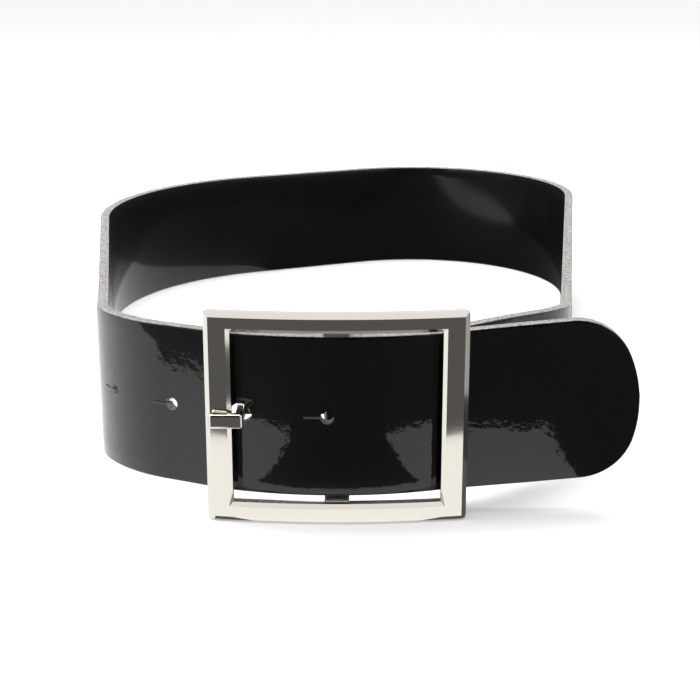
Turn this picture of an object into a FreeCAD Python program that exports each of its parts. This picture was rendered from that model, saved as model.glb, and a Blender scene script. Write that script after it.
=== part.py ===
import FreeCAD, Part
import math
import os

# Buckled wide belt standing on its edge. Millimetres, +Z up, X to the right, Y away from the viewer.
# The plan (XY) is drawn about the buckle: X = 0 is the centre bar, Y = 0 the front of the side rails.
# Every solid is moved at the end so that the origin is the bottom centre of the bounding box.

V = FreeCAD.Vector

# ---- strap --------------------------------------------------------------------------------------
STRAP_W = 50.8            # width of the strap, a 2 inch belt
OUTER_T = 2.6             # thickness of the outer ply
LINING_T = 1.2            # thickness of the lining ply
STRAP_T = OUTER_T + LINING_T
LAYER_GAP = 0.4           # air between the free end and the fixed end behind it

# ---- buckle frame -------------------------------------------------------------------------------
FRAME_W = 79.6            # outer width
FRAME_OVER = 7.8          # how far the frame stands above and below the strap
FRAME_H = STRAP_W + 2 * FRAME_OVER
FRAME_T = 4.0             # thickness of the cast rails, front to back
SIDE_RAIL = 7.9           # width of a side rail
TOP_RAIL = 6.1            # height of the top and bottom rails
FRAME_BOW = 3.4           # how far the middle of the frame stands forward of its ends
OUTER_CORNER_R = 1.4      # corner radius of the outline
OUTER_BEVEL = 1.5         # bevel along the outer front edges
WINDOW_BEVEL = 1.2        # bevel along the window's front edges

# ---- centre bar and its lugs --------------------------------------------------------------------
BAR_R = 2.0               # radius of the centre bar
BAR_RUN = 0.15            # radial air between the bar and the leather fold
PRONG_RUN = 0.06          # radial running clearance of the tongue's eye on the bar
LUG_R = 3.8               # radius of the lugs that hold the bar
LUG_H = 3.2               # height of each lug
LUG_AIR = 0.6             # air between a lug and the strap's edge
BAR_END_WALL = 1.0        # metal left over the top end of the bar

# ---- window bulge of the free end ---------------------------------------------------------------
BULGE_R = 110.0           # outer-face radius of the strap where it bulges over the bar
BULGE_FRONT = 0.2         # Y of the outer face at the middle of the bulge
LEFT_KNEE_X = 34.0        # where the bulge ends beside the left rail
RIGHT_KNEE_X = 33.0       # where the bulge of the free end ends beside the right rail
FIXED_KNEE_X = 36.0       # where the fixed end leaves the bulge
KNEE_R = 22.0             # radius of the strap as it bends round behind a side rail
REVERSE_R = 25.0          # radius of the reverse bend of the free end behind the right rail

# ---- loop: four corner circles of the outer face (centre x, centre y, radius) --------------------
FRONT_LEFT = (-36.0, 55.0, 44.3)
REAR_LEFT = (-6.3, 237.8, 102.7)
REAR_RIGHT = (37.3, 286.4, 75.4)
FRONT_RIGHT = (43.0, 59.3, 35.6)

# ---- how the strap's edge sinks from the buckle's height to the floor ---------------------------
LEVEL_TO_Y = 15.0         # the strap is level in front of this Y
FLOOR_FROM_Y = 96.0       # and lies on the floor behind this Y

# ---- free end -----------------------------------------------------------------------------------
TIP_X = 92.8              # X of the very end
TAIL_RISE = 0.088         # upward slope of the free end beyond the right rail
TAIL_BACK = 0.02          # backward slope of the free end beyond the right rail
TAIL_FROM_X = 37.0        # where the slope begins, hidden behind the right rail
TIP_NOSE_R = 40.0         # radius of the blunt nose of the tip
TIP_CORNER_R = 18.0       # radius of the tip's shoulders

# ---- adjusting holes ----------------------------------------------------------------------------
HOLE_PITCH = 25.4
HOLE_R = 2.05
HOLE_COUNT = 5
SLIT_REACH = 7.3          # from the hole's centre to the end of its relief slit
SLIT_W = 0.8
FIRST_HOLE_S = 2.9        # path length from the middle of the bulge to the first hole

# ---- tongue -------------------------------------------------------------------------------------
TONGUE_W = 4.6            # height of the tongue along Z
TONGUE_T = 2.4            # thickness
EYE_WALL = 1.3            # wall of the eye round the bar
EYE_H = 6.0               # height of the eye along the bar
STRETCHED_R = 3.3         # radius of the worn hole the tongue passes through
TONGUE_BACK = 2.3         # how far the tongue's shank runs behind the bar's centre
TONGUE_SHORT = 1.2        # how far the tongue ends short of the rail's outer edge
TONGUE_TIP_X = -(FRAME_W / 2 - TONGUE_SHORT)
TONGUE_REST = 0.35        # air between the resting tongue and the left rail
PIERCE_X = -29.4          # X of the middle of the shank where it passes through the strap

# ---- hidden fold --------------------------------------------------------------------------------
FOLD_T = 1.9              # thickness the outer ply is pared to round the bar
PARE_X = 13.0             # where the paring begins
PARE_LEN = 6.0            # length of the pared slope
FOLD_BLEND_R = 40.0       # radius of the return as it closes on to the lining
RETURN_END = 33.5         # X at which the return ends, on the lining
SLOT_H = 8.0              # height of the slot in the fold for the tongue's eye
SLOT_REACH = 7.0          # how far the slot runs to the right of the bar

# ---- fold rivets --------------------------------------------------------------------------------
RIVET_X = 26.0            # X of the rivets
RIVET_SPREAD = 30.0       # spacing of the two rivets along Z
POST_R = 1.6
POST_RUN = 0.1            # air round a post in the leather
POST_HEAD_R = 3.6
POST_HEAD_T = 0.8
HEAD_SINK = 0.95          # depth of the pocket that hides the head
CAP_R = 4.4
CAP_T = 1.3
SEAT_CLEAR = 0.15         # air under a flat cap on the curved leather

# ---- derived heights ----------------------------------------------------------------------------
STRAP_Z0 = (FRAME_H - STRAP_W) / 2
STRAP_Z1 = STRAP_Z0 + STRAP_W
MID_Z = FRAME_H / 2
BULGE_C = (0.0, BULGE_FRONT + BULGE_R)
FIXED_R = BULGE_R - STRAP_T - LAYER_GAP
BAR_Y = BULGE_C[1] - FIXED_R + FOLD_T + BAR_RUN + BAR_R
CUT = 20.0                # overshoot of cutting tools


# ---- plan geometry ------------------------------------------------------------------------------
def on_circle(centre, radius, angle):
    return (centre[0] + radius * math.cos(angle), centre[1] + radius * math.sin(angle))


def arc_segment(centre, radius, start, end, side=1):
    """Arc of the outer face. side is 1 where the loop's inside holds the centre, else -1."""
    return {"centre": centre, "radius": radius, "start": start, "end": end, "side": side}


def line_segment(p, q, normal):
    """Straight stretch of the outer face; normal points away from the loop's inside."""
    return {"p": p, "q": q, "normal": normal}


def outer_tangent(c1, r1, c2, r2):
    """Tangent line that keeps both circles on its inner side, travelling from the first."""
    dx = c2[0] - c1[0]
    dy = c2[1] - c1[1]
    dist = math.hypot(dx, dy)
    ex, ey = dx / dist, dy / dist
    along = (r1 - r2) / dist
    across = math.sqrt(1.0 - along * along)
    normal = (ex * along - ey * across, ey * along + ex * across)
    p = (c1[0] + r1 * normal[0], c1[1] + r1 * normal[1])
    q = (c2[0] + r2 * normal[0], c2[1] + r2 * normal[1])
    return p, q, normal


def point_at(segment, fraction, depth):
    """Point of a segment, depth millimetres inside the outer face."""
    if "centre" in segment:
        angle = segment["start"] + (segment["end"] - segment["start"]) * fraction
        return on_circle(segment["centre"], segment["radius"] - segment["side"] * depth, angle)
    n = segment["normal"]
    x = segment["p"][0] + (segment["q"][0] - segment["p"][0]) * fraction - n[0] * depth
    y = segment["p"][1] + (segment["q"][1] - segment["p"][1]) * fraction - n[1] * depth
    return (x, y)


def length_of(segment):
    if "centre" in segment:
        return segment["radius"] * abs(segment["end"] - segment["start"])
    return math.dist(segment["p"], segment["q"])


def outward(segment, fraction):
    """Unit normal of the outer face, away from the loop's inside."""
    if "centre" in segment:
        angle = segment["start"] + (segment["end"] - segment["start"]) * fraction
        return (segment["side"] * math.cos(angle), segment["side"] * math.sin(angle))
    return segment["normal"]


def v2(p):
    return V(p[0], p[1], 0)


def edge_of(segment, depth):
    a = v2(point_at(segment, 0.0, depth))
    b = v2(point_at(segment, 1.0, depth))
    if "centre" in segment:
        return Part.Arc(a, v2(point_at(segment, 0.5, depth)), b).toShape()
    return Part.LineSegment(a, b).toShape()


def band(segments, depth0, depth1, height):
    """Solid between two depths below the outer face, extruded from Z = 0."""
    edges = [edge_of(s, depth0) for s in segments] + [edge_of(s, depth1) for s in segments]
    for segment, fraction in ((segments[0], 0.0), (segments[-1], 1.0)):
        a = v2(point_at(segment, fraction, depth0))
        b = v2(point_at(segment, fraction, depth1))
        edges.append(Part.LineSegment(a, b).toShape())
    wire = Part.Wire(Part.__sortEdges__(edges))
    return Part.Face(wire).extrude(V(0, 0, height))


FRONT = -math.pi / 2


def bulge_angle(x, radius):
    return FRONT + math.asin(x / radius)


def knee(radius, x):
    """Small circle inside the bulge circle, touching it at x."""
    angle = bulge_angle(x, radius)
    return on_circle(BULGE_C, radius - KNEE_R, angle), angle


def free_end_segments():
    """Tail, reverse bend and bulge of the free end, from the tip towards the left."""
    right = bulge_angle(RIGHT_KNEE_X, BULGE_R)
    centre = on_circle(BULGE_C, BULGE_R + REVERSE_R, right)
    tail_normal = FRONT + math.atan(TAIL_BACK)
    start = on_circle(centre, REVERSE_R, tail_normal + math.pi)
    reach = (TIP_X - start[0]) / math.cos(math.atan(TAIL_BACK))
    end = (TIP_X, start[1] + reach * math.sin(math.atan(TAIL_BACK)))
    tail = line_segment(end, start, (math.cos(tail_normal), math.sin(tail_normal)))
    bend = arc_segment(centre, REVERSE_R, tail_normal + math.pi, right + math.pi, -1)
    left = bulge_angle(-LEFT_KNEE_X, BULGE_R)
    return [tail, bend, arc_segment(BULGE_C, BULGE_R, right, FRONT), arc_segment(BULGE_C, BULGE_R, FRONT, left)]


def loop_segments():
    """From the left knee round the back to the fixed end, ending where the paring begins."""
    left_c, left_a = knee(BULGE_R, -LEFT_KNEE_X)
    right_c, right_a = knee(FIXED_R, FIXED_KNEE_X)
    corners = [FRONT_LEFT, REAR_LEFT, REAR_RIGHT, FRONT_RIGHT]
    circles = [(left_c, KNEE_R)] + [((c[0], c[1]), c[2]) for c in corners] + [(right_c, KNEE_R)]
    tangents = [outer_tangent(a[0], a[1], b[0], b[1]) for a, b in zip(circles, circles[1:])]
    result = []
    angle = left_a
    for i, (centre, radius) in enumerate(circles):
        if i < len(tangents):
            n = tangents[i][2]
            end = math.atan2(n[1], n[0])
        else:
            end = right_a
        while end > angle:
            end -= 2 * math.pi
        result.append(arc_segment(centre, radius, angle, end))
        angle = end
        if i < len(tangents):
            result.append(line_segment(*tangents[i]))
    while angle < FRONT:
        angle += 2 * math.pi
    result.append(arc_segment(BULGE_C, FIXED_R, right_a, bulge_angle(PARE_X, FIXED_R)))
    return result


FREE = free_end_segments()
LOOP = loop_segments()
PATH = FREE + LOOP


def locate(distance):
    """Segment and fraction at a path length to the left of the middle of the bulge."""
    rest = distance
    for segment in [FREE[-1]] + LOOP:
        size = length_of(segment)
        if rest <= size:
            return segment, rest / size
        rest -= size
    raise ValueError("distance beyond the strap")


# ---- envelope that gives the strap its width and its fall to the floor ---------------------------
def fall_curve(z_front, z_back):
    """Level line, two equal arcs and a level line, in the YZ plane."""
    drop = z_front - z_back
    run = FLOOR_FROM_Y - LEVEL_TO_Y
    radius = (run * run / 4 + drop * drop / 4) / drop
    half = math.asin(run / 2 / radius)
    mid = V(0, LEVEL_TO_Y + run / 2, z_front - drop / 2)
    quarter = radius * math.sin(half / 2)
    dip = radius * (1 - math.cos(half / 2))
    y_far = REAR_RIGHT[1] + REAR_RIGHT[2] + CUT
    p0 = V(0, -CUT, z_front)
    p1 = V(0, LEVEL_TO_Y, z_front)
    p2 = V(0, FLOOR_FROM_Y, z_back)
    p3 = V(0, y_far, z_back)
    first = Part.Arc(p1, V(0, LEVEL_TO_Y + quarter, z_front - dip), mid).toShape()
    second = Part.Arc(mid, V(0, FLOOR_FROM_Y - quarter, z_back + dip), p2).toShape()
    return [Part.LineSegment(p0, p1).toShape(), first, second, Part.LineSegment(p2, p3).toShape()]


def envelope():
    """Prism along X between the falling lower and upper edges."""
    low = fall_curve(STRAP_Z0, 0.0)
    high = fall_curve(STRAP_Z1, STRAP_W)
    ends = []
    for i, y in ((0, -CUT), (-1, REAR_RIGHT[1] + REAR_RIGHT[2] + CUT)):
        a = V(0, y, STRAP_Z0 if i == 0 else 0.0)
        b = V(0, y, STRAP_Z1 if i == 0 else STRAP_W)
        ends.append(Part.LineSegment(a, b).toShape())
    wire = Part.Wire(Part.__sortEdges__(low + high + ends))
    prism = Part.Face(wire).extrude(V(500, 0, 0))
    prism.translate(V(-250, 0, 0))
    return prism


def tail_outline():
    """Front-view prism of the free end: level up to the rail, then sloping up to a blunt tip."""
    half = STRAP_W / 2
    length = TIP_X - TAIL_FROM_X
    shoulder = half - TIP_CORNER_R
    nose_x = length - TIP_NOSE_R
    corner_x = nose_x + math.sqrt((TIP_NOSE_R - TIP_CORNER_R) ** 2 - shoulder ** 2)
    touch = math.atan2(shoulder, corner_x - nose_x)
    nose = (nose_x, 0.0)
    edges = []
    for sign in (1, -1):
        corner = (corner_x, sign * shoulder)
        a = on_circle(corner, TIP_CORNER_R, sign * math.pi / 2)
        m = on_circle(corner, TIP_CORNER_R, sign * (math.pi / 2 + touch) / 2)
        b = on_circle(corner, TIP_CORNER_R, sign * touch)
        arc = Part.Arc(V(a[0], 0, a[1]), V(m[0], 0, m[1]), V(b[0], 0, b[1]))
        edges.append(arc.toShape())
        start = V(0, 0, sign * half)
        edges.append(Part.LineSegment(start, V(a[0], 0, a[1])).toShape())
    p = on_circle(nose, TIP_NOSE_R, touch)
    q = on_circle(nose, TIP_NOSE_R, -touch)
    front = Part.Arc(V(p[0], 0, p[1]), V(length, 0, 0), V(q[0], 0, q[1]))
    edges.append(front.toShape())
    edges.append(Part.LineSegment(V(0, 0, half), V(0, 0, -half)).toShape())
    face = Part.Face(Part.Wire(Part.__sortEdges__(edges)))
    prism = face.extrude(V(0, 2 * CUT, 0))
    prism.rotate(V(0, 0, 0), V(0, 1, 0), -math.degrees(math.atan(TAIL_RISE)))
    prism.translate(V(TAIL_FROM_X, -CUT / 2, MID_Z))
    return prism


def box(x0, x1, y0, y1, z0, z1):
    return Part.makeBox(x1 - x0, y1 - y0, z1 - z0, V(x0, y0, z0))


def strap_layer(depth0, depth1):
    """One ply of the strap from the tip to the paring, with its width, fall and tip."""
    height = FRAME_H + CUT
    beyond = box(TAIL_FROM_X, TIP_X + CUT, -CUT, 2 * CUT, -CUT, height)
    free = band(FREE, depth0, depth1, height)
    level = box(-CUT, TAIL_FROM_X + STRAP_T, -CUT, 2 * CUT, STRAP_Z0, STRAP_Z1)
    free_left = free.cut(beyond).common(level.fuse(box(-2 * CUT, 0, -CUT, 2 * CUT, STRAP_Z0, STRAP_Z1)))
    free_right = free.common(beyond).common(tail_outline())
    loop = band(LOOP, depth0, depth1, height).common(envelope())
    return free_left.fuse([free_right, loop]).removeSplitter()


# ---- adjusting holes ----------------------------------------------------------------------------
def through_tool(distance):
    """Keyhole cutter standing square to the strap at a path length left of the bulge's middle."""
    segment, fraction = locate(distance)
    n = outward(segment, fraction)
    p = point_at(segment, fraction, STRAP_T / 2)
    y = p[1]
    z = MID_Z - strap_fall(y)
    round_hole = Part.makeCylinder(HOLE_R, STRAP_T * 3, V(0, 0, -STRAP_T * 1.5))
    slit = box(0, SLIT_REACH, -SLIT_W / 2, SLIT_W / 2, -STRAP_T * 1.5, STRAP_T * 1.5)
    tool = round_hole.fuse(slit)
    # local X runs along the strap away from the tip, local Y is up, local Z is outward
    along = V(n[1], -n[0], 0)
    up = V(0, 0, 1)
    out = V(n[0], n[1], 0)
    matrix = FreeCAD.Matrix(along.x, up.x, out.x, p[0], along.y, up.y, out.y, p[1],
                            along.z, up.z, out.z, z, 0, 0, 0, 1)
    return tool.transformGeometry(matrix)


def strap_fall(y):
    """Drop of the strap's edge below its height at the buckle."""
    drop = STRAP_Z0
    run = FLOOR_FROM_Y - LEVEL_TO_Y
    radius = (run * run / 4 + drop * drop / 4) / drop
    if y <= LEVEL_TO_Y:
        return 0.0
    if y >= FLOOR_FROM_Y:
        return drop
    if y <= LEVEL_TO_Y + run / 2:
        return radius - math.sqrt(radius ** 2 - (y - LEVEL_TO_Y) ** 2)
    return drop - radius + math.sqrt(radius ** 2 - (FLOOR_FROM_Y - y) ** 2)


# ---- tongue -------------------------------------------------------------------------------------
def tongue_blank():
    """Cranked tongue with square corners, without its eye."""
    t = TONGUE_T
    back_y = BAR_Y + TONGUE_BACK
    rest_y = tongue_rest_y() - t / 2
    points = [(0.0, back_y), (PIERCE_X, back_y), (PIERCE_X, rest_y), (TONGUE_TIP_X + t / 2, rest_y)]
    solids = []
    for a, b in zip(points, points[1:]):
        x0, x1 = min(a[0], b[0]) - t / 2, max(a[0], b[0]) + t / 2
        y0, y1 = min(a[1], b[1]) - t / 2, max(a[1], b[1]) + t / 2
        solids.append(box(x0, x1, y0, y1, MID_Z - TONGUE_W / 2, MID_Z + TONGUE_W / 2))
    solids[0] = solids[0].common(box(-FRAME_W, 0, -CUT, 2 * CUT, 0, FRAME_H))
    return solids[0].fuse(solids[1:]).removeSplitter()


def tongue_rest_y():
    """Y of the back of the resting tongue, just in front of the most forward part of the rail."""
    return frame_front(FRAME_W / 2 - SIDE_RAIL + WINDOW_BEVEL) - TONGUE_REST


def frame_front(x):
    """Y of the frame's bowed front face at x."""
    radius = bow_radius()
    return radius - FRAME_BOW - math.sqrt(radius ** 2 - x ** 2)


def bow_radius():
    return (FRAME_W ** 2 / 4 + FRAME_BOW ** 2) / (2 * FRAME_BOW)


def fillet_where(shape, radius, keep):
    """Round the edges whose midpoint passes the test."""
    chosen = []
    for edge in shape.Edges:
        mid = edge.valueAt((edge.FirstParameter + edge.LastParameter) / 2)
        if keep(edge, mid):
            chosen.append(edge)
    return shape.makeFillet(radius, chosen)


def chamfer_where(shape, size, keep):
    chosen = []
    for edge in shape.Edges:
        mid = edge.valueAt((edge.FirstParameter + edge.LastParameter) / 2)
        if keep(edge, mid):
            chosen.append(edge)
    return shape.makeChamfer(size, chosen)


def is_upright(edge):
    box_ = edge.BoundBox
    return box_.XLength < 0.01 and box_.YLength < 0.01 and box_.ZLength > 0.5


def make_tongue():
    body = tongue_blank()
    body = fillet_where(body, TONGUE_T * 0.45, lambda e, m: is_upright(e) and m.x < PIERCE_X + TONGUE_T)
    edge_r = TONGUE_T * 0.35
    body = body.makeFillet(edge_r, [e for e in body.Edges if abs(e.BoundBox.ZLength) < 0.01])
    eye = Part.makeCylinder(BAR_R + PRONG_RUN + EYE_WALL, EYE_H, V(0, BAR_Y, MID_Z - EYE_H / 2))
    bore = Part.makeCylinder(BAR_R + PRONG_RUN, EYE_H * 3, V(0, BAR_Y, MID_Z - EYE_H * 1.5))
    return body.fuse(eye).cut(bore).removeSplitter()


# ---- buckle frame -------------------------------------------------------------------------------
def rounded_prism(width, height, radius, y0, y1):
    """Rounded rectangle in the front view, centred on the frame, extruded along Y."""
    body = box(-width / 2, width / 2, y0, y1, MID_Z - height / 2, MID_Z + height / 2)
    edges = [e for e in body.Edges if e.BoundBox.YLength > (y1 - y0) / 2]
    return body.makeFillet(radius, edges)


def make_frame():
    radius = bow_radius()
    centre_y = radius - FRAME_BOW
    slab = Part.makeCylinder(radius, FRAME_H, V(0, centre_y, 0))
    slab = slab.cut(Part.makeCylinder(radius - FRAME_T, FRAME_H, V(0, centre_y, 0)))
    window_w = FRAME_W - 2 * SIDE_RAIL
    window_h = FRAME_H - 2 * TOP_RAIL
    body = slab.common(box(-FRAME_W / 2, FRAME_W / 2, -CUT, CUT, 0, FRAME_H))
    body = body.cut(box(-window_w / 2, window_w / 2, -CUT, CUT, TOP_RAIL, FRAME_H - TOP_RAIL))

    def front(mid):
        return abs(mid.y - frame_front(mid.x)) < 0.05

    def at_window(mid):
        return abs(mid.x) < window_w / 2 + 0.01 and abs(mid.z - MID_Z) < window_h / 2 + 0.01

    body = chamfer_where(body, OUTER_BEVEL, lambda e, m: front(m) and not at_window(m))
    body = chamfer_where(body, WINDOW_BEVEL, lambda e, m: front(m) and at_window(m))
    body = body.common(rounded_prism(FRAME_W, FRAME_H, OUTER_CORNER_R, -CUT, CUT))
    web_front = frame_front(0) + FRAME_T / 2
    for z in (MID_Z - STRAP_W / 2 - LUG_AIR - LUG_H, MID_Z + STRAP_W / 2 + LUG_AIR):
        lug = Part.makeCylinder(LUG_R, LUG_H, V(0, BAR_Y, z))
        web = box(-LUG_R, LUG_R, web_front, BAR_Y, z, z + LUG_H)
        body = body.fuse([lug, web])
    return body.cut(make_bar()).removeSplitter()


def make_bar():
    bottom = MID_Z - STRAP_W / 2 - LUG_AIR - LUG_H
    top = MID_Z + STRAP_W / 2 + LUG_AIR + LUG_H - BAR_END_WALL
    return Part.makeCylinder(BAR_R, top - bottom, V(0, BAR_Y, bottom))


# ---- hidden fold of the outer ply ---------------------------------------------------------------
def fold_geometry():
    """Circles of the return: round the bar, then a blend that closes on to the lining."""
    inner_r = BAR_R + BAR_RUN
    contact_r = FIXED_R - STRAP_T
    blend_off = contact_r - FOLD_BLEND_R
    rise = BULGE_C[1] - BAR_Y
    reach = inner_r + FOLD_BLEND_R
    cosine = (blend_off ** 2 + rise ** 2 - reach ** 2) / (2 * blend_off * rise)
    theta = math.acos(cosine)
    blend_c = on_circle(BULGE_C, blend_off, FRONT + theta)
    return inner_r, contact_r, theta, blend_c


def make_fold():
    """Pared leg in front of the bar, half turn round it, and the return on to the lining."""
    inner_r, contact_r, theta, blend_c = fold_geometry()
    bar_c = (0.0, BAR_Y)
    start = bulge_angle(PARE_X, FIXED_R)
    turn_end = math.atan2(blend_c[1] - bar_c[1], blend_c[0] - bar_c[0])
    blend_start = math.atan2(bar_c[1] - blend_c[1], bar_c[0] - blend_c[0])
    contact_end = bulge_angle(RETURN_END, contact_r)

    def arc(centre, radius, a0, a1):
        p, m, q = (v2(on_circle(centre, radius, a)) for a in (a0, (a0 + a1) / 2, a1))
        return Part.Arc(p, m, q).toShape()

    turn_stop = turn_end - 2 * math.pi
    blend_stop = FRONT + theta
    edges = [
        arc(BULGE_C, FIXED_R, start, FRONT),
        arc(bar_c, inner_r + FOLD_T, FRONT, turn_stop),
        arc(blend_c, FOLD_BLEND_R - FOLD_T, blend_start, blend_stop),
        arc(BULGE_C, contact_r - FOLD_T, blend_stop, contact_end),
        arc(BULGE_C, contact_r, contact_end, blend_stop),
        arc(blend_c, FOLD_BLEND_R, blend_stop, blend_start),
        arc(bar_c, inner_r, turn_stop, FRONT),
    ]
    thin_x = PARE_X - PARE_LEN
    thin_angle = bulge_angle(thin_x, FIXED_R)
    edges.append(arc(BULGE_C, FIXED_R - FOLD_T, FRONT, thin_angle))
    thick = on_circle(BULGE_C, FIXED_R - OUTER_T, start)
    thin = on_circle(BULGE_C, FIXED_R - FOLD_T, thin_angle)
    edges.append(Part.LineSegment(v2(thin), v2(thick)).toShape())
    edges.append(Part.LineSegment(v2(thick), v2(on_circle(BULGE_C, FIXED_R, start))).toShape())
    edges.append(Part.LineSegment(v2(on_circle(BULGE_C, contact_r - FOLD_T, contact_end)),
                                  v2(on_circle(BULGE_C, contact_r, contact_end))).toShape())
    wire = Part.Wire(Part.__sortEdges__(edges))
    body = Part.Face(wire).extrude(V(0, 0, STRAP_W))
    body.translate(V(0, 0, STRAP_Z0))
    slot = box(-2 * CUT, SLOT_REACH, BAR_Y - CUT, BAR_Y + CUT, MID_Z - SLOT_H / 2, MID_Z + SLOT_H / 2)
    return body.cut(slot)


# ---- fold rivets --------------------------------------------------------------------------------
def rivet_frame():
    """Point on the fixed end's outer face and its inward direction at the rivets."""
    angle = bulge_angle(RIVET_X, FIXED_R)
    p = on_circle(BULGE_C, FIXED_R, angle)
    return V(p[0], p[1], 0), V(-math.cos(angle), -math.sin(angle), 0)


def along_rivet(radius, depth0, depth1, z):
    base, inward = rivet_frame()
    start = base + inward * depth0
    return Part.makeCylinder(radius, depth1 - depth0, V(start.x, start.y, z), inward)


RIVET_Z = (MID_Z + RIVET_SPREAD / 2, MID_Z - RIVET_SPREAD / 2)
LEATHER_STACK = STRAP_T + FOLD_T
HEAD_TOP = HEAD_SINK - POST_HEAD_T


def make_post(z):
    head = along_rivet(POST_HEAD_R, HEAD_TOP, HEAD_SINK, z)
    shank = along_rivet(POST_R, HEAD_TOP, LEATHER_STACK + SEAT_CLEAR + CAP_T * 0.6, z)
    return head.fuse(shank).removeSplitter()


def make_cap(z):
    inner = LEATHER_STACK + SEAT_CLEAR
    cap = along_rivet(CAP_R, inner, inner + CAP_T, z)
    cap = fillet_where(cap, CAP_T * 0.35, lambda e, m: e.Length > 2 * CAP_R and is_far_rim(m))
    return cap.cut(along_rivet(POST_R, 0, LEATHER_STACK + SEAT_CLEAR + CAP_T * 0.6, z))


def is_far_rim(mid):
    base, inward = rivet_frame()
    depth = (mid.x - base.x) * inward.x + (mid.y - base.y) * inward.y
    return depth > LEATHER_STACK + SEAT_CLEAR + CAP_T / 2


def rivet_holes():
    tools = []
    for z in RIVET_Z:
        tools.append(along_rivet(POST_R + POST_RUN, 0, LEATHER_STACK + CUT / 4, z))
        tools.append(along_rivet(POST_HEAD_R + POST_RUN, -LAYER_GAP / 2, HEAD_SINK, z))
    return tools


# ---- assembly -----------------------------------------------------------------------------------
def strap_cutters():
    worn_hole = Part.makeCylinder(STRETCHED_R, CUT, V(PIERCE_X, -1.0, MID_Z), V(0, 1, 0))
    holes = [through_tool(FIRST_HOLE_S + i * HOLE_PITCH) for i in range(HOLE_COUNT)]
    return rivet_holes() + holes + [worn_hole]


def build():
    cutters = strap_cutters()
    outer = strap_layer(0.0, OUTER_T).fuse(make_fold()).removeSplitter()
    lining = strap_layer(OUTER_T, STRAP_T)
    nodes = {}
    nodes["outer_ply"] = outer.cut(cutters)
    nodes["lining_ply"] = lining.cut(cutters)
    nodes["buckle_frame"] = make_frame()
    nodes["centre_bar"] = make_bar()
    nodes["tongue"] = make_tongue()
    for name, z in zip(("upper", "lower"), RIVET_Z):
        nodes["fold_post_" + name] = make_post(z)
        nodes["fold_cap_" + name] = make_cap(z)
    return nodes


def origin_shift():
    """Bottom centre of the bounding box, from the circles and the frame."""
    x_min = REAR_LEFT[0] - REAR_LEFT[2]
    x_max = REAR_RIGHT[0] + REAR_RIGHT[2]
    y_max = REAR_RIGHT[1] + REAR_RIGHT[2]
    y_min = min(-FRAME_BOW, tongue_rest_y() - TONGUE_T)
    return V(-(x_min + x_max) / 2, -(y_min + y_max) / 2, 0)


os.makedirs("parts", exist_ok=True)
shift = origin_shift()
for node, shape in build().items():
    shape.translate(shift)
    shape.exportStep("parts/" + node + ".step")
    bb = shape.optimalBoundingBox(False)
    print(node, len(shape.Solids), shape.isValid(), round(shape.Volume, 1),
          [round(v, 2) for v in (bb.XMin, bb.XMax, bb.YMin, bb.YMax, bb.ZMin, bb.ZMax)])
print("bar axis", round(shift.x, 3), round(BAR_Y + shift.y, 3))
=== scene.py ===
import math
import bmesh
import bpy
import numpy as np
from mathutils import Matrix, Vector


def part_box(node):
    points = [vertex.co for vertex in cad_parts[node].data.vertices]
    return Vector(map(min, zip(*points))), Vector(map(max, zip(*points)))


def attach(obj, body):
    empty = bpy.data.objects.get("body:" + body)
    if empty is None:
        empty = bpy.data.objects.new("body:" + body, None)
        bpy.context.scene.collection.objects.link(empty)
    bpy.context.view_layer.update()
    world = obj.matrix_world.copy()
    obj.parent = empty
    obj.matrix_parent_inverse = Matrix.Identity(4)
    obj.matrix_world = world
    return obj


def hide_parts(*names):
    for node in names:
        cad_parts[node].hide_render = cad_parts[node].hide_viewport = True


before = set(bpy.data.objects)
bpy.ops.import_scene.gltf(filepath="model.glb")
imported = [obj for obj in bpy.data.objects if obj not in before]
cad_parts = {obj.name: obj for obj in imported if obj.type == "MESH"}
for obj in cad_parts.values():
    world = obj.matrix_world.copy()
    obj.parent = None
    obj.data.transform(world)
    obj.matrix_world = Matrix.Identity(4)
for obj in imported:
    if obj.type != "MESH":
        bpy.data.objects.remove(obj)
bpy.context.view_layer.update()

bl_info = {
    "name": "Buckled dress belt",
    "version": (1, 0, 0),
    "blender": (4, 5, 0),
    "location": "View3D > Sidebar > Belt",
    "description": "Builds the leather, finishes and studio of the buckled belt",
    "category": "Object",
}

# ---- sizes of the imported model, in millimetres ---------------------------------------------------
STRAP_W = 50.8
OUTER_T = 2.6
LINING_T = 1.2
STRAP_T = OUTER_T + LINING_T
LAYER_GAP = 0.4
FRAME_H = 66.4
BAR_R = 2.0
BAR_RUN = 0.15
BULGE_R = 110.0
BULGE_FRONT = 0.2
LEFT_KNEE_X = 34.0
RIGHT_KNEE_X = 33.0
FIXED_KNEE_X = 36.0
KNEE_R = 22.0
REVERSE_R = 25.0
CORNERS = ((-36.0, 55.0, 44.3), (-6.3, 237.8, 102.7), (37.3, 286.4, 75.4), (43.0, 59.3, 35.6))
LEVEL_TO_Y = 15.0
FLOOR_FROM_Y = 96.0
TIP_X = 92.8
TAIL_RISE = 0.088
TAIL_BACK = 0.02
TAIL_FROM_X = 37.0
TIP_NOSE_R = 40.0
TIP_CORNER_R = 18.0
HOLE_PITCH = 25.4
HOLE_R = 2.05
HOLE_COUNT = 5
SLIT_REACH = 7.3
SLIT_W = 0.8
FIRST_HOLE_S = 2.9
WORN_R = 3.3
PIERCE_X = -29.4
FOLD_T = 1.9
PARE_X = 13.0
PARE_LEN = 6.0
FOLD_BLEND_R = 40.0
RETURN_END = 33.5
SLOT_H = 8.0
SLOT_REACH = 7.0
SLOT_R = 3.45

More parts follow.
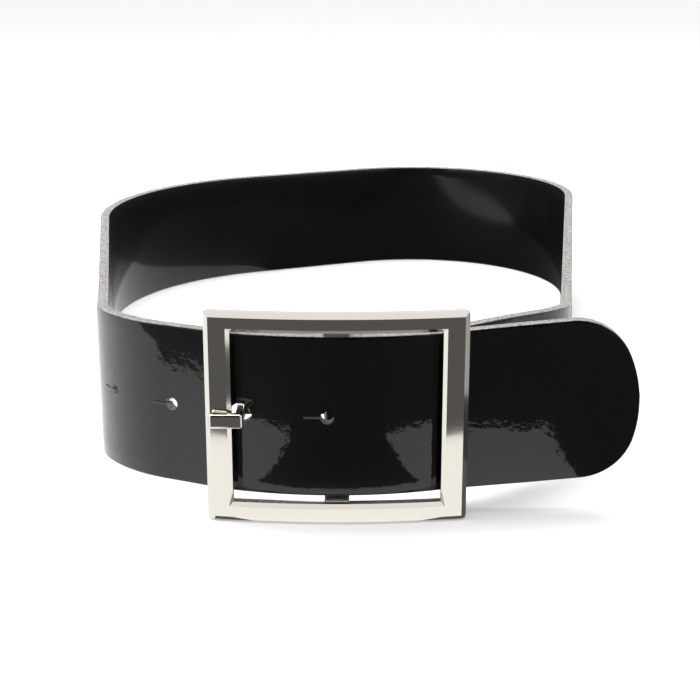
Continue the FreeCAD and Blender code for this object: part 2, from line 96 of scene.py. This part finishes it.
MID_Z = FRAME_H / 2
CAMERA_AT = (4.0, -406.2, 175.7)
CAMERA_PITCH = math.radians(16.59)
STRAP_Z0 = (FRAME_H - STRAP_W) / 2
BULGE_C = (0.0, BULGE_FRONT + BULGE_R)
FIXED_R = BULGE_R - STRAP_T - LAYER_GAP
BAR_Y = BULGE_C[1] - FIXED_R + FOLD_T + BAR_RUN + BAR_R
FRONT = -math.pi / 2

# glowing cards under the floor that only reflections see, painted reflections of the lit floor on the gloss: name,
# x from, x to, y from, y to
REFLECTION_GLOW_CARDS = (
    ("lit_left", -2500, -38, -75, 2000),
    ("lit_right_strip", 39, 80, -75, 0),
    ("lit_centre_strip", -38, 39, -19, 0),
    ("lit_right", 160, 2500, -75, 2000),
)

BAR_LOW, BAR_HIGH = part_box("centre_bar")
SHIFT_X = (BAR_LOW.x + BAR_HIGH.x) / 2
SHIFT_Y = (BAR_LOW.y + BAR_HIGH.y) / 2 - BAR_Y / 1000


def place(x, y, z):
    """Millimetres about the buckle to metres in the frame."""
    return Vector((x / 1000 + SHIFT_X, y / 1000 + SHIFT_Y, z / 1000))


# ---- the strap's plan ----------------------------------------------------------------------------
def on_circle(centre, radius, angle):
    return (centre[0] + radius * math.cos(angle), centre[1] + radius * math.sin(angle))


def arc(centre, radius, start, end, side=1):
    return {"centre": centre, "radius": radius, "start": start, "end": end, "side": side}


def outer_tangent(c1, r1, c2, r2):
    dx, dy = c2[0] - c1[0], c2[1] - c1[1]
    dist = math.hypot(dx, dy)
    ex, ey = dx / dist, dy / dist
    along = (r1 - r2) / dist
    across = math.sqrt(1.0 - along * along)
    normal = (ex * along - ey * across, ey * along + ex * across)
    p = (c1[0] + r1 * normal[0], c1[1] + r1 * normal[1])
    q = (c2[0] + r2 * normal[0], c2[1] + r2 * normal[1])
    return {"p": p, "q": q, "normal": normal}


def point_at(segment, fraction, depth):
    n = outward(segment, fraction)
    if "centre" in segment:
        angle = segment["start"] + (segment["end"] - segment["start"]) * fraction
        return on_circle(segment["centre"], segment["radius"] - segment["side"] * depth, angle)
    p, q = segment["p"], segment["q"]
    return (p[0] + (q[0] - p[0]) * fraction - n[0] * depth, p[1] + (q[1] - p[1]) * fraction - n[1] * depth)


def outward(segment, fraction):
    if "centre" in segment:
        angle = segment["start"] + (segment["end"] - segment["start"]) * fraction
        return (segment["side"] * math.cos(angle), segment["side"] * math.sin(angle))
    return segment["normal"]


def length_of(segment):
    if "centre" in segment:
        return segment["radius"] * abs(segment["end"] - segment["start"])
    return math.dist(segment["p"], segment["q"])


def bulge_angle(x, radius):
    return FRONT + math.asin(x / radius)


def free_segments():
    """Tail, reverse bend and bulge, from the tip towards the left."""
    right = bulge_angle(RIGHT_KNEE_X, BULGE_R)
    centre = on_circle(BULGE_C, BULGE_R + REVERSE_R, right)
    normal = FRONT + math.atan(TAIL_BACK)
    start = on_circle(centre, REVERSE_R, normal + math.pi)
    end = (TIP_X, start[1] + (TIP_X - start[0]) * TAIL_BACK)
    tail = {"p": end, "q": start, "normal": (math.cos(normal), math.sin(normal))}
    bend = arc(centre, REVERSE_R, normal + math.pi, right + math.pi, -1)
    left = bulge_angle(-LEFT_KNEE_X, BULGE_R)
    return [tail, bend, arc(BULGE_C, BULGE_R, right, FRONT), arc(BULGE_C, BULGE_R, FRONT, left)]


def loop_segments():
    """From the left knee round the back to where the paring begins."""
    left = bulge_angle(-LEFT_KNEE_X, BULGE_R)
    right = bulge_angle(FIXED_KNEE_X, FIXED_R)
    circles = [(on_circle(BULGE_C, BULGE_R - KNEE_R, left), KNEE_R)]
    circles += [((x, y), r) for x, y, r in CORNERS]
    circles.append((on_circle(BULGE_C, FIXED_R - KNEE_R, right), KNEE_R))
    tangents = [outer_tangent(*a, *b) for a, b in zip(circles, circles[1:])]
    result, angle = [], left
    for i, (centre, radius) in enumerate(circles):
        end = right
        if i < len(tangents):
            n = tangents[i]["normal"]
            end = math.atan2(n[1], n[0])
        while end > angle:
            end -= 2 * math.pi
        result.append(arc(centre, radius, angle, end))
        angle = end
        result += tangents[i:i + 1]
    result.append(arc(BULGE_C, FIXED_R, right, bulge_angle(PARE_X, FIXED_R)))
    return result


def fold_segments():
    """The pared outer ply: over the bar, round it, and back on to the lining."""
    inner_r = BAR_R + BAR_RUN
    contact_r = FIXED_R - STRAP_T
    blend_off = contact_r - FOLD_BLEND_R
    rise = BULGE_C[1] - BAR_Y
    reach = inner_r + FOLD_BLEND_R
    theta = math.acos((blend_off ** 2 + rise ** 2 - reach ** 2) / (2 * blend_off * rise))
    blend_c = on_circle(BULGE_C, blend_off, FRONT + theta)
    turn_end = math.atan2(blend_c[1] - BAR_Y, blend_c[0]) - 2 * math.pi
    blend_start = math.atan2(BAR_Y - blend_c[1], -blend_c[0])
    contact_end = bulge_angle(RETURN_END, contact_r)
    return [
        arc(BULGE_C, FIXED_R, bulge_angle(PARE_X, FIXED_R), bulge_angle(PARE_X - PARE_LEN, FIXED_R)),
        arc(BULGE_C, FIXED_R, bulge_angle(PARE_X - PARE_LEN, FIXED_R), FRONT),
        arc((0.0, BAR_Y), inner_r + FOLD_T, FRONT, turn_end),
        arc(blend_c, FOLD_BLEND_R - FOLD_T, blend_start, FRONT + theta, -1),
        arc(BULGE_C, contact_r - FOLD_T, FRONT + theta, contact_end, -1),
    ]


def strap_fall(y):
    """How far the strap's edge has sunk from the buckle's height towards the floor."""
    run = FLOOR_FROM_Y - LEVEL_TO_Y
    radius = (run * run / 4 + STRAP_Z0 ** 2 / 4) / STRAP_Z0
    if y <= LEVEL_TO_Y:
        return 0.0
    if y >= FLOOR_FROM_Y:
        return STRAP_Z0
    if y <= LEVEL_TO_Y + run / 2:
        return radius - math.sqrt(radius ** 2 - (y - LEVEL_TO_Y) ** 2)
    return STRAP_Z0 - radius + math.sqrt(radius ** 2 - (FLOOR_FROM_Y - y) ** 2)


FREE = free_segments()
LOOP = loop_segments()


# ---- lofted leather ------------------------------------------------------------------------------
def tip_outline(reach):
    """Half height of the tip and the outline's normal (along, up) at a distance short of the nose."""
    half = STRAP_W / 2
    shoulder = half - TIP_CORNER_R
    corner_x = -TIP_NOSE_R + math.sqrt((TIP_NOSE_R - TIP_CORNER_R) ** 2 - shoulder ** 2)
    x = -reach
    if x <= corner_x:
        return half, (0.0, 1.0)
    touch = math.atan2(shoulder, corner_x + TIP_NOSE_R)
    if x <= -TIP_NOSE_R + TIP_NOSE_R * math.cos(touch):
        a = math.acos((x - corner_x) / TIP_CORNER_R)
        return shoulder + TIP_CORNER_R * math.sin(a), (math.cos(a), math.sin(a))
    a = math.acos(min(1.0, (x + TIP_NOSE_R) / TIP_NOSE_R))
    return TIP_NOSE_R * math.sin(a), (math.cos(a), math.sin(a))


def stations(step, with_fold):
    """(segment, fraction, part) down the strap, part being tail, free, loop or fold."""
    out = []
    near = [0.5 * (1 - math.cos(math.pi * i / 40)) for i in range(21)]
    tip_reach = 26.0
    size = length_of(FREE[0])
    out += [(FREE[0], 2 * f * tip_reach / size, "tail") for f in near]
    groups = [("tail", FREE[:1]), ("free", FREE[1:]), ("loop", LOOP)]
    if with_fold:
        groups.append(("fold", fold_segments()))
    for part, segments in groups:
        for segment in segments:
            count = max(3, int(length_of(segment) / step))
            first = tip_reach / size if part == "tail" else 0.0
            for i in range(1, count + 1):
                out.append((segment, first + (1 - first) * i / count, part))
    return out


def profile(rows, outer_r, inner_r):
    """Closed profile: (share of thickness or None, depth offset, inset, row share, is_core)."""
    steps = [math.radians(a) for a in (0, 25, 50, 70, 90)]
    outer = [(0, outer_r * (1 - math.cos(a)), outer_r * (1 - math.sin(a)), a > 0.9) for a in steps]
    inner = [(1, -inner_r * (1 - math.cos(a)), inner_r * (1 - math.sin(a)), a > 0.5) for a in steps]
    points = []
    for i in range(1, rows):
        points.append((0, 0.0, outer_r, 1 - 2 * i / rows, False))
    points += [(s, d, e, -1.0, core) for s, d, e, core in outer]
    points += [(s, d, e, -1.0, core) for s, d, e, core in reversed(inner)]
    for i in range(1, rows):
        points.append((1, 0.0, inner_r, -1 + 2 * i / rows, False))
    points += [(s, d, e, 1.0, core) for s, d, e, core in inner]
    points += [(s, d, e, 1.0, core) for s, d, e, core in reversed(outer)]
    return points


def ply_mesh(name, depth0, depth1, with_fold, step, edge_r):
    """Closed skin of one ply, following the strap from the tip to its end."""
    rings = stations(step, with_fold)
    points = profile(10, edge_r if depth0 == 0 else 0.1, edge_r if depth0 > 0 else 0.1)
    verts = []
    pare = length_of(fold_segments()[0])
    for segment, fraction, part in rings:
        base = point_at(segment, fraction, 0.0)
        n = outward(segment, fraction)
        d1 = depth1
        if part == "fold":
            on_slope = segment["radius"] == FIXED_R and segment["end"] > FRONT + 1e-9
            d1 = OUTER_T + (FOLD_T - OUTER_T) * (fraction if on_slope else 1.0)
        half, out_n = STRAP_W / 2, (0.0, 1.0)
        centre_z, slant = MID_Z, 0.0
        if part == "tail":
            half, out_n = tip_outline(fraction * length_of(segment))
        if part in ("tail", "free") and base[0] > TAIL_FROM_X:
            centre_z += TAIL_RISE * (base[0] - TAIL_FROM_X)
            slant = TAIL_RISE * min(1.0, (base[0] - TAIL_FROM_X) / 20)
        if part == "loop":
            centre_z -= strap_fall(point_at(segment, fraction, STRAP_T / 2)[1])
        for share, shift, inset, row, core in points:
            depth = (d1 if share else depth0) + shift
            up = row * max(0.0, half - inset * out_n[1])
            back = -inset * out_n[0] * row * row - up * slant
            x = base[0] - n[0] * depth + back
            y = base[1] - n[1] * depth + back * TAIL_BACK
            verts.append(place(x, y, centre_z + up))
    size = len(points)
    faces, slots = [], []
    for i in range(len(rings) - 1):
        for j in range(size):
            k = (j + 1) % size
            faces.append((i * size + j, i * size + k, (i + 1) * size + k, (i + 1) * size + j))
            slots.append(1 if points[j][4] or points[k][4] else 0)
    last = (len(rings) - 1) * size
    faces.append(tuple(reversed(range(size))))
    faces.append(tuple(range(last, last + size)))
    slots += [1, 1]
    mesh = bpy.data.meshes.new(name)
    mesh.from_pydata(verts, [], faces)
    mesh.polygons.foreach_set("material_index", slots)
    bm = bmesh.new()
    bm.from_mesh(mesh)
    bmesh.ops.remove_doubles(bm, verts=bm.verts, dist=2e-6)
    bmesh.ops.recalc_face_normals(bm, faces=bm.faces)
    bm.to_mesh(mesh)
    bm.free()
    obj = bpy.data.objects.new(name, mesh)
    bpy.context.scene.collection.objects.link(obj)
    return obj


def prism(name, outlines):
    """One mesh of closed prisms, each a list of points and the vector it is extruded along."""
    verts, faces = [], []
    for ring, vector in outlines:
        first, count = len(verts), len(ring)
        verts += [p for p in ring] + [p + vector for p in ring]
        faces.append(tuple(first + i for i in reversed(range(count))))
        faces.append(tuple(first + count + i for i in range(count)))
        for i in range(count):
            j = (i + 1) % count
            faces.append((first + i, first + j, first + count + j, first + count + i))
    mesh = bpy.data.meshes.new(name)
    mesh.from_pydata(verts, [], faces)
    bm = bmesh.new()
    bm.from_mesh(mesh)
    bmesh.ops.recalc_face_normals(bm, faces=bm.faces)
    bm.to_mesh(mesh)
    bm.free()
    mesh.materials.append(None)
    mesh.materials.append(None)
    mesh.polygons.foreach_set("material_index", [1] * len(mesh.polygons))
    obj = bpy.data.objects.new(name, mesh)
    bpy.context.scene.collection.objects.link(obj)
    return obj


def keyholes():
    """Cutters for the adjusting holes, each round with a short relief slit."""
    rings = []
    half = math.asin(SLIT_W / 2 / HOLE_R)
    outline = [(SLIT_REACH, SLIT_W / 2), (SLIT_REACH, -SLIT_W / 2)]
    for i in range(33):
        a = -half - (2 * math.pi - 2 * half) * i / 32
        outline.append((HOLE_R * math.cos(a), HOLE_R * math.sin(a)))
    for i in range(HOLE_COUNT):
        rest = FIRST_HOLE_S + i * HOLE_PITCH
        for segment in [FREE[-1]] + LOOP:
            if rest <= length_of(segment):
                break
            rest -= length_of(segment)
        fraction = rest / length_of(segment)
        n = outward(segment, fraction)
        p = point_at(segment, fraction, -1.5)
        z = MID_Z - (strap_fall(p[1]) if segment in LOOP else 0.0)
        ring = [place(p[0] + u * n[1], p[1] - u * n[0], z + v) for u, v in outline]
        depth = -(STRAP_T + 2.2) / 1000 if i else -(STRAP_T + 1.7) / 1000
        rings.append((ring, Vector((n[0], n[1], 0)) * depth))
    return prism("keyhole_cutter", rings)


def worn_and_slot():
    """Cutters for the stretched hole round the tongue and the slot in the fold."""
    circle = [(WORN_R * math.cos(math.tau * i / 40), WORN_R * math.sin(math.tau * i / 40)) for i in range(40)]
    worn = [place(PIERCE_X + u, -1.0, MID_Z + v) for u, v in circle]
    plan = [(SLOT_REACH, BAR_Y - SLOT_R), (SLOT_REACH, BAR_Y + 11), (-8.0, BAR_Y + 11), (-8.0, BAR_Y + 0.8)]
    first = math.pi - math.asin(0.8 / SLOT_R)
    for i in range(17):
        a = first + (1.5 * math.pi - first) * i / 16
        plan.append((SLOT_R * math.cos(a), BAR_Y + SLOT_R * math.sin(a)))
    slot = [place(x, y, MID_Z - SLOT_H / 2) for x, y in plan]
    return prism("worn_cutter", [(worn, Vector((0, 0.02, 0))), (slot, Vector((0, 0, SLOT_H / 1000)))])


def cut_and_shade(obj, cutters):
    """Cut the holes and keep only real creases sharp."""
    for cutter in cutters:
        modifier = obj.modifiers.new(cutter.name, "BOOLEAN")
        modifier.operation = "DIFFERENCE"
        modifier.solver = "EXACT"
        modifier.object = cutter
    bpy.context.view_layer.update()
    graph = bpy.context.evaluated_depsgraph_get()
    mesh = bpy.data.meshes.new_from_object(obj.evaluated_get(graph))
    obj.modifiers.clear()
    obj.data = mesh
    if len(mesh.polygons) < 1000:
        raise RuntimeError(obj.name + " lost its surface when its holes were cut")
    mesh.polygons.foreach_set("use_smooth", [True] * len(mesh.polygons))
    mesh.set_sharp_from_angle(angle=math.radians(35))
    return obj


# ---- materials -----------------------------------------------------------------------------------
def linear(code):
    """sRGB hex to the linear colour the shaders take."""
    parts = [int(code[i:i + 2], 16) / 255 for i in (1, 3, 5)]
    return [p / 12.92 if p <= 0.04045 else ((p + 0.055) / 1.055) ** 2.4 for p in parts] + [1.0]


def add(tree, kind, settings=None, **links):
    """Add a node, set its inputs and properties, and link sockets given as name=(node, output)."""
    node = tree.nodes.new(kind)
    for key, value in (settings or {}).items():
        if key in node.inputs:
            node.inputs[key].default_value = value
        else:
            setattr(node, key, value)
    for key, (source, output) in links.items():
        tree.links.new(source.outputs[output], node.inputs[key.replace("_", " ")])
    return node


def material(name, settings):
    """New material with a principled shader set to the given values."""
    mat = bpy.data.materials.new(name)
    mat.use_nodes = True
    tree = mat.node_tree
    shader = tree.nodes["Principled BSDF"]
    for key, value in settings.items():
        shader.inputs[key].default_value = value
    return mat, tree, shader, add(tree, "ShaderNodeTexCoord")


def ramp(tree, source, low, high, at):
    """Two-colour ramp between the given places."""
    node = add(tree, "ShaderNodeValToRGB", None, Fac=source)
    node.color_ramp.elements[0].position, node.color_ramp.elements[1].position = at
    node.color_ramp.elements[0].color, node.color_ramp.elements[1].color = low, high
    return node


PEEL_MM = 1.3
GRAIN_MM = 0.35


def patent_leather():
    """Patent leather: deep black with a wet clear coat that ripples gently over the hide."""
    mat, tree, shader, coord = material("patent_leather", {
        "Base Color": linear("#020203"), "Roughness": 0.4, "Specular IOR Level": 0.15, "Coat Weight": 1.0, "Coat Roughness": 0.035})
    peel = add(tree, "ShaderNodeTexNoise", {"Scale": 1000 / PEEL_MM / 2, "Detail": 3.0}, Vector=(coord, "Object"))
    wave = add(tree, "ShaderNodeTexNoise", {"Scale": 1000 / 22.0, "Detail": 1.0}, Vector=(coord, "Object"))
    bump = add(tree, "ShaderNodeBump", {"Strength": 0.45, "Distance": 0.00012}, Height=(peel, 0))
    broad = add(tree, "ShaderNodeBump", {"Strength": 0.5, "Distance": 0.0006}, Height=(wave, 0), Normal=(bump, 0))
    tree.links.new(broad.outputs[0], shader.inputs["Normal"])
    tree.links.new(broad.outputs[0], shader.inputs["Coat Normal"])
    return mat


def lining_leather():
    """Black coated lining: a softer gloss than the front, with fine upright drawing marks."""
    mat, tree, shader, coord = material("lining_leather", {
        "Base Color": linear("#030304"), "Roughness": 0.45, "Specular IOR Level": 0.2, "Coat Weight": 0.6,
        "Coat Roughness": 0.1})
    stretch = add(tree, "ShaderNodeMapping", {"Scale": (1.0, 1.0, 0.12)}, Vector=(coord, "Object"))
    marks = add(tree, "ShaderNodeTexNoise", {"Scale": 1000 / 1.6, "Detail": 3.0}, Vector=(stretch, 0))
    bump = add(tree, "ShaderNodeBump", {"Strength": 0.25, "Distance": 0.0001}, Height=(marks, 0))
    tree.links.new(bump.outputs[0], shader.inputs["Normal"])
    return mat


def cut_edge(name, light, dark):
    """Raw cut edge of split leather: dry grey fibres with paler tufts and dark pits."""
    mat, tree, shader, coord = material(name, {"Roughness": 0.85, "Specular IOR Level": 0.3})
    fibre = add(tree, "ShaderNodeTexNoise", {"Scale": 1000 / GRAIN_MM / 2, "Detail": 5.0, "Roughness": 0.7},
                Vector=(coord, "Object"))
    colour = ramp(tree, (fibre, 0), linear(dark), linear(light), (0.36, 0.66))
    tree.links.new(colour.outputs[0], shader.inputs["Base Color"])
    bump = add(tree, "ShaderNodeBump", {"Strength": 0.8, "Distance": 0.00025}, Height=(fibre, 0))
    tree.links.new(bump.outputs[0], shader.inputs["Normal"])
    return mat


def polished_metal(name, colour, roughness, brush_mm):
    """Polished plated metal: mirror bright, with a faint soft drag from the buffing wheel."""
    mat, tree, shader, coord = material(name, {"Base Color": linear(colour), "Metallic": 1.0})
    stretch = add(tree, "ShaderNodeMapping", {"Scale": (0.08, 1.0, 1.0)}, Vector=(coord, "Object"))
    drag = add(tree, "ShaderNodeTexNoise", {"Scale": 1000 / brush_mm, "Detail": 3.0}, Vector=(stretch, 0))
    rough = add(tree, "ShaderNodeMapRange", {"To Min": roughness * 0.7, "To Max": roughness * 1.4}, Value=(drag, 0))
    tree.links.new(rough.outputs[0], shader.inputs["Roughness"])
    bump = add(tree, "ShaderNodeBump", {"Strength": 0.04, "Distance": 0.00005}, Height=(drag, 0))
    tree.links.new(bump.outputs[0], shader.inputs["Normal"])
    return mat


def matte(name, colour, roughness, glow=0.0):
    """Paper or cloth of the studio, with a barely visible tooth; a glow above zero makes it emit white, as painted
    light.
    """
    mat, tree, shader, coord = material(name, {
        "Base Color": linear(colour), "Roughness": roughness, "Specular IOR Level": 0.1,
        "Emission Color": linear("#ffffff"), "Emission Strength": glow})
    tooth = add(tree, "ShaderNodeTexNoise", {"Scale": 900.0, "Detail": 2.0}, Vector=(coord, "Object"))
    bump = add(tree, "ShaderNodeBump", {"Strength": 0.02, "Distance": 0.0001}, Height=(tooth, 0))
    tree.links.new(bump.outputs[0], shader.inputs["Normal"])
    return mat


# ---- settings ------------------------------------------------------------------------------------
class BeltSettings(bpy.types.PropertyGroup):
    step: bpy.props.FloatProperty(name="Station step", description="Spacing of the leather's sections, mm",
                                  default=1.5, min=0.5)
    edge: bpy.props.FloatProperty(name="Edge radius", description="Rounding of the leather's edges, mm",
                                  default=0.45, min=0.1)
    lens: bpy.props.FloatProperty(name="Lens", description="Focal length of the camera, mm", default=73.2)


class BELT_OT_strap(bpy.types.Operator):
    """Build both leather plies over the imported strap"""
    bl_idname = "belt.strap"
    bl_label = "Strap"

    def execute(self, context):
        settings = context.scene.belt
        cutters = [keyholes(), worn_and_slot()]
        outer = ply_mesh("strap_outer", 0.0, OUTER_T, True, settings.step, settings.edge)
        lining = ply_mesh("strap_lining", OUTER_T, STRAP_T, False, settings.step, settings.edge)
        core = cut_edge("leather_core", "#b3b0ae", "#4c4a49")
        for obj, skin, node in ((outer, patent_leather(), "outer_ply"), (lining, lining_leather(), "lining_ply")):
            obj.data.materials.append(skin)
            obj.data.materials.append(core)
            cut_and_shade(obj, cutters)
            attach(obj, "strap")
            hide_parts(node)
        for cutter in cutters:
            bpy.data.objects.remove(cutter)
        return {"FINISHED"}


class BELT_OT_metal(bpy.types.Operator):
    """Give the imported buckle, bar, tongue and rivets their finishes"""
    bl_idname = "belt.metal"
    bl_label = "Metal"

    def execute(self, context):
        nickel = polished_metal("polished_nickel", "#e2ddd4", 0.09, 0.6)
        steel = polished_metal("rivet_steel", "#c9c7c4", 0.22, 0.4)
        for node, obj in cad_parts.items():
            if node in ("outer_ply", "lining_ply"):
                continue
            mat = nickel if node in ("buckle_frame", "tongue") else steel
            obj.data.materials.clear()
            obj.data.materials.append(mat)
        return {"FINISHED"}


def card(name, centre, size, facing, mat):
    """Flat studio card facing a point, built as a small grid."""
    bm = bmesh.new()
    bmesh.ops.create_grid(bm, x_segments=4, y_segments=4, size=0.5)
    mesh = bpy.data.meshes.new(name)
    bm.to_mesh(mesh)
    bm.free()
    obj = bpy.data.objects.new(name, mesh)
    bpy.context.scene.collection.objects.link(obj)
    turn = (Vector(facing) - Vector(centre)).to_track_quat("Z", "Y").to_matrix().to_4x4()
    obj.matrix_world = Matrix.Translation(centre) @ turn @ Matrix.Diagonal((size[0], size[1], 1, 1))
    mesh.materials.append(mat)
    return obj


def gloss_only(obj, seen=True):
    """Studio card that only reflections see, or the opposite: one that they don't see."""
    obj.visible_camera = not seen
    obj.visible_diffuse = not seen
    obj.visible_shadow = not seen
    obj.visible_glossy = seen
    return obj


class BELT_OT_stage(bpy.types.Operator):
    """Set the pale floor, the soft lights and the camera"""
    bl_idname = "belt.stage"
    bl_label = "Stage"

    def execute(self, context):
        scene = context.scene
        scene.view_settings.view_transform = "Standard"
        front = place(0, 0, 0)
        white = matte("white_sweep", "#f6f6f6", 0.9)
        gloss_only(card("floor", (0, front.y + 1.5, -0.0002), (8, 5), (0, front.y + 1.5, 1), white), False)
        # painted reflection: a black card with a faint glow lies under the floor, and only reflections see it, so
        # the gloss shows dark where the real floor is white
        shade = matte("dark_reflection_card", "#000000", 1.0, 0.1)
        glow = matte("glowing_reflection_card", "#000000", 1.0, 1.15)
        gloss_only(card("dark_reflection_card", (0, front.y + 1.5, -0.002), (8, 5), (0, front.y + 1.5, 1), shade))
        # painted reflection: glowing strips that only reflections see paint the bright floor reflections on the
        # leather and metal
        for name, x0, x1, y0, y1 in REFLECTION_GLOW_CARDS:
            low, high = place(x0, y0, -1.0), place(x1, y1, -1.0)
            centre = (low + high) / 2
            size = (high.x - low.x, high.y - low.y)
            gloss_only(card(name, centre, size, centre + Vector((0, 0, 1)), glow))
        # painted dark reflection: a dark card behind the camera that only reflections see, so the strap's front
        # faces reflect black; it blocks no light
        flag = matte("dark_flag", "#060606", 0.9)
        gloss_only(card("camera_flag", (0, front.y - 0.95, 0.9), (1.15, 2.2), (0, 0, 0.9), flag))
        world = bpy.data.worlds.new("studio")
        scene.world = world
        world.use_nodes = True
        shader = world.node_tree.nodes["Background"]
        shader.inputs["Color"].default_value = linear("#ffffff")
        shader.inputs["Strength"].default_value = 1.0
        for name, x, y, z, watts, size in (("key_left", -0.8, 0.0, 0.7, 5, 0.5), ("top", 0.0, 0.15, 1.1, 12, 0.9)):
            light = bpy.data.lights.new(name, "AREA")
            light.energy = watts
            light.size = size
            obj = bpy.data.objects.new(name, light)
            scene.collection.objects.link(obj)
            obj.location = (x, y, z)
            obj.rotation_euler = (Vector((0, 0, 0)) - obj.location).to_track_quat("-Z", "Y").to_euler()
        data = bpy.data.cameras.new("camera")
        data.lens = scene.belt.lens
        data.sensor_width = 36.0
        camera = bpy.data.objects.new("camera", data)
        scene.collection.objects.link(camera)
        camera.location = place(*CAMERA_AT)
        camera.rotation_euler = (math.pi / 2 - CAMERA_PITCH, 0, 0)
        scene.camera = camera
        return {"FINISHED"}


class BELT_PT_panel(bpy.types.Panel):
    """Buttons that build the belt"""
    bl_idname = "BELT_PT_panel"
    bl_label = "Belt"
    bl_space_type = "VIEW_3D"
    bl_region_type = "UI"
    bl_category = "Belt"

    def draw(self, context):
        for name in ("step", "edge", "lens"):
            self.layout.prop(context.scene.belt, name)
        for idname in ("belt.strap", "belt.metal", "belt.stage"):
            self.layout.operator(idname)


CLASSES = (BeltSettings, BELT_OT_strap, BELT_OT_metal, BELT_OT_stage, BELT_PT_panel)


def register():
    for cls in CLASSES:
        bpy.utils.register_class(cls)
    bpy.types.Scene.belt = bpy.props.PointerProperty(type=BeltSettings)


def unregister():
    del bpy.types.Scene.belt
    for cls in reversed(CLASSES):
        bpy.utils.unregister_class(cls)


def main():
    register()
    bpy.ops.belt.strap()
    bpy.ops.belt.metal()
    bpy.ops.belt.stage()


if __name__ == "__main__":
    main()
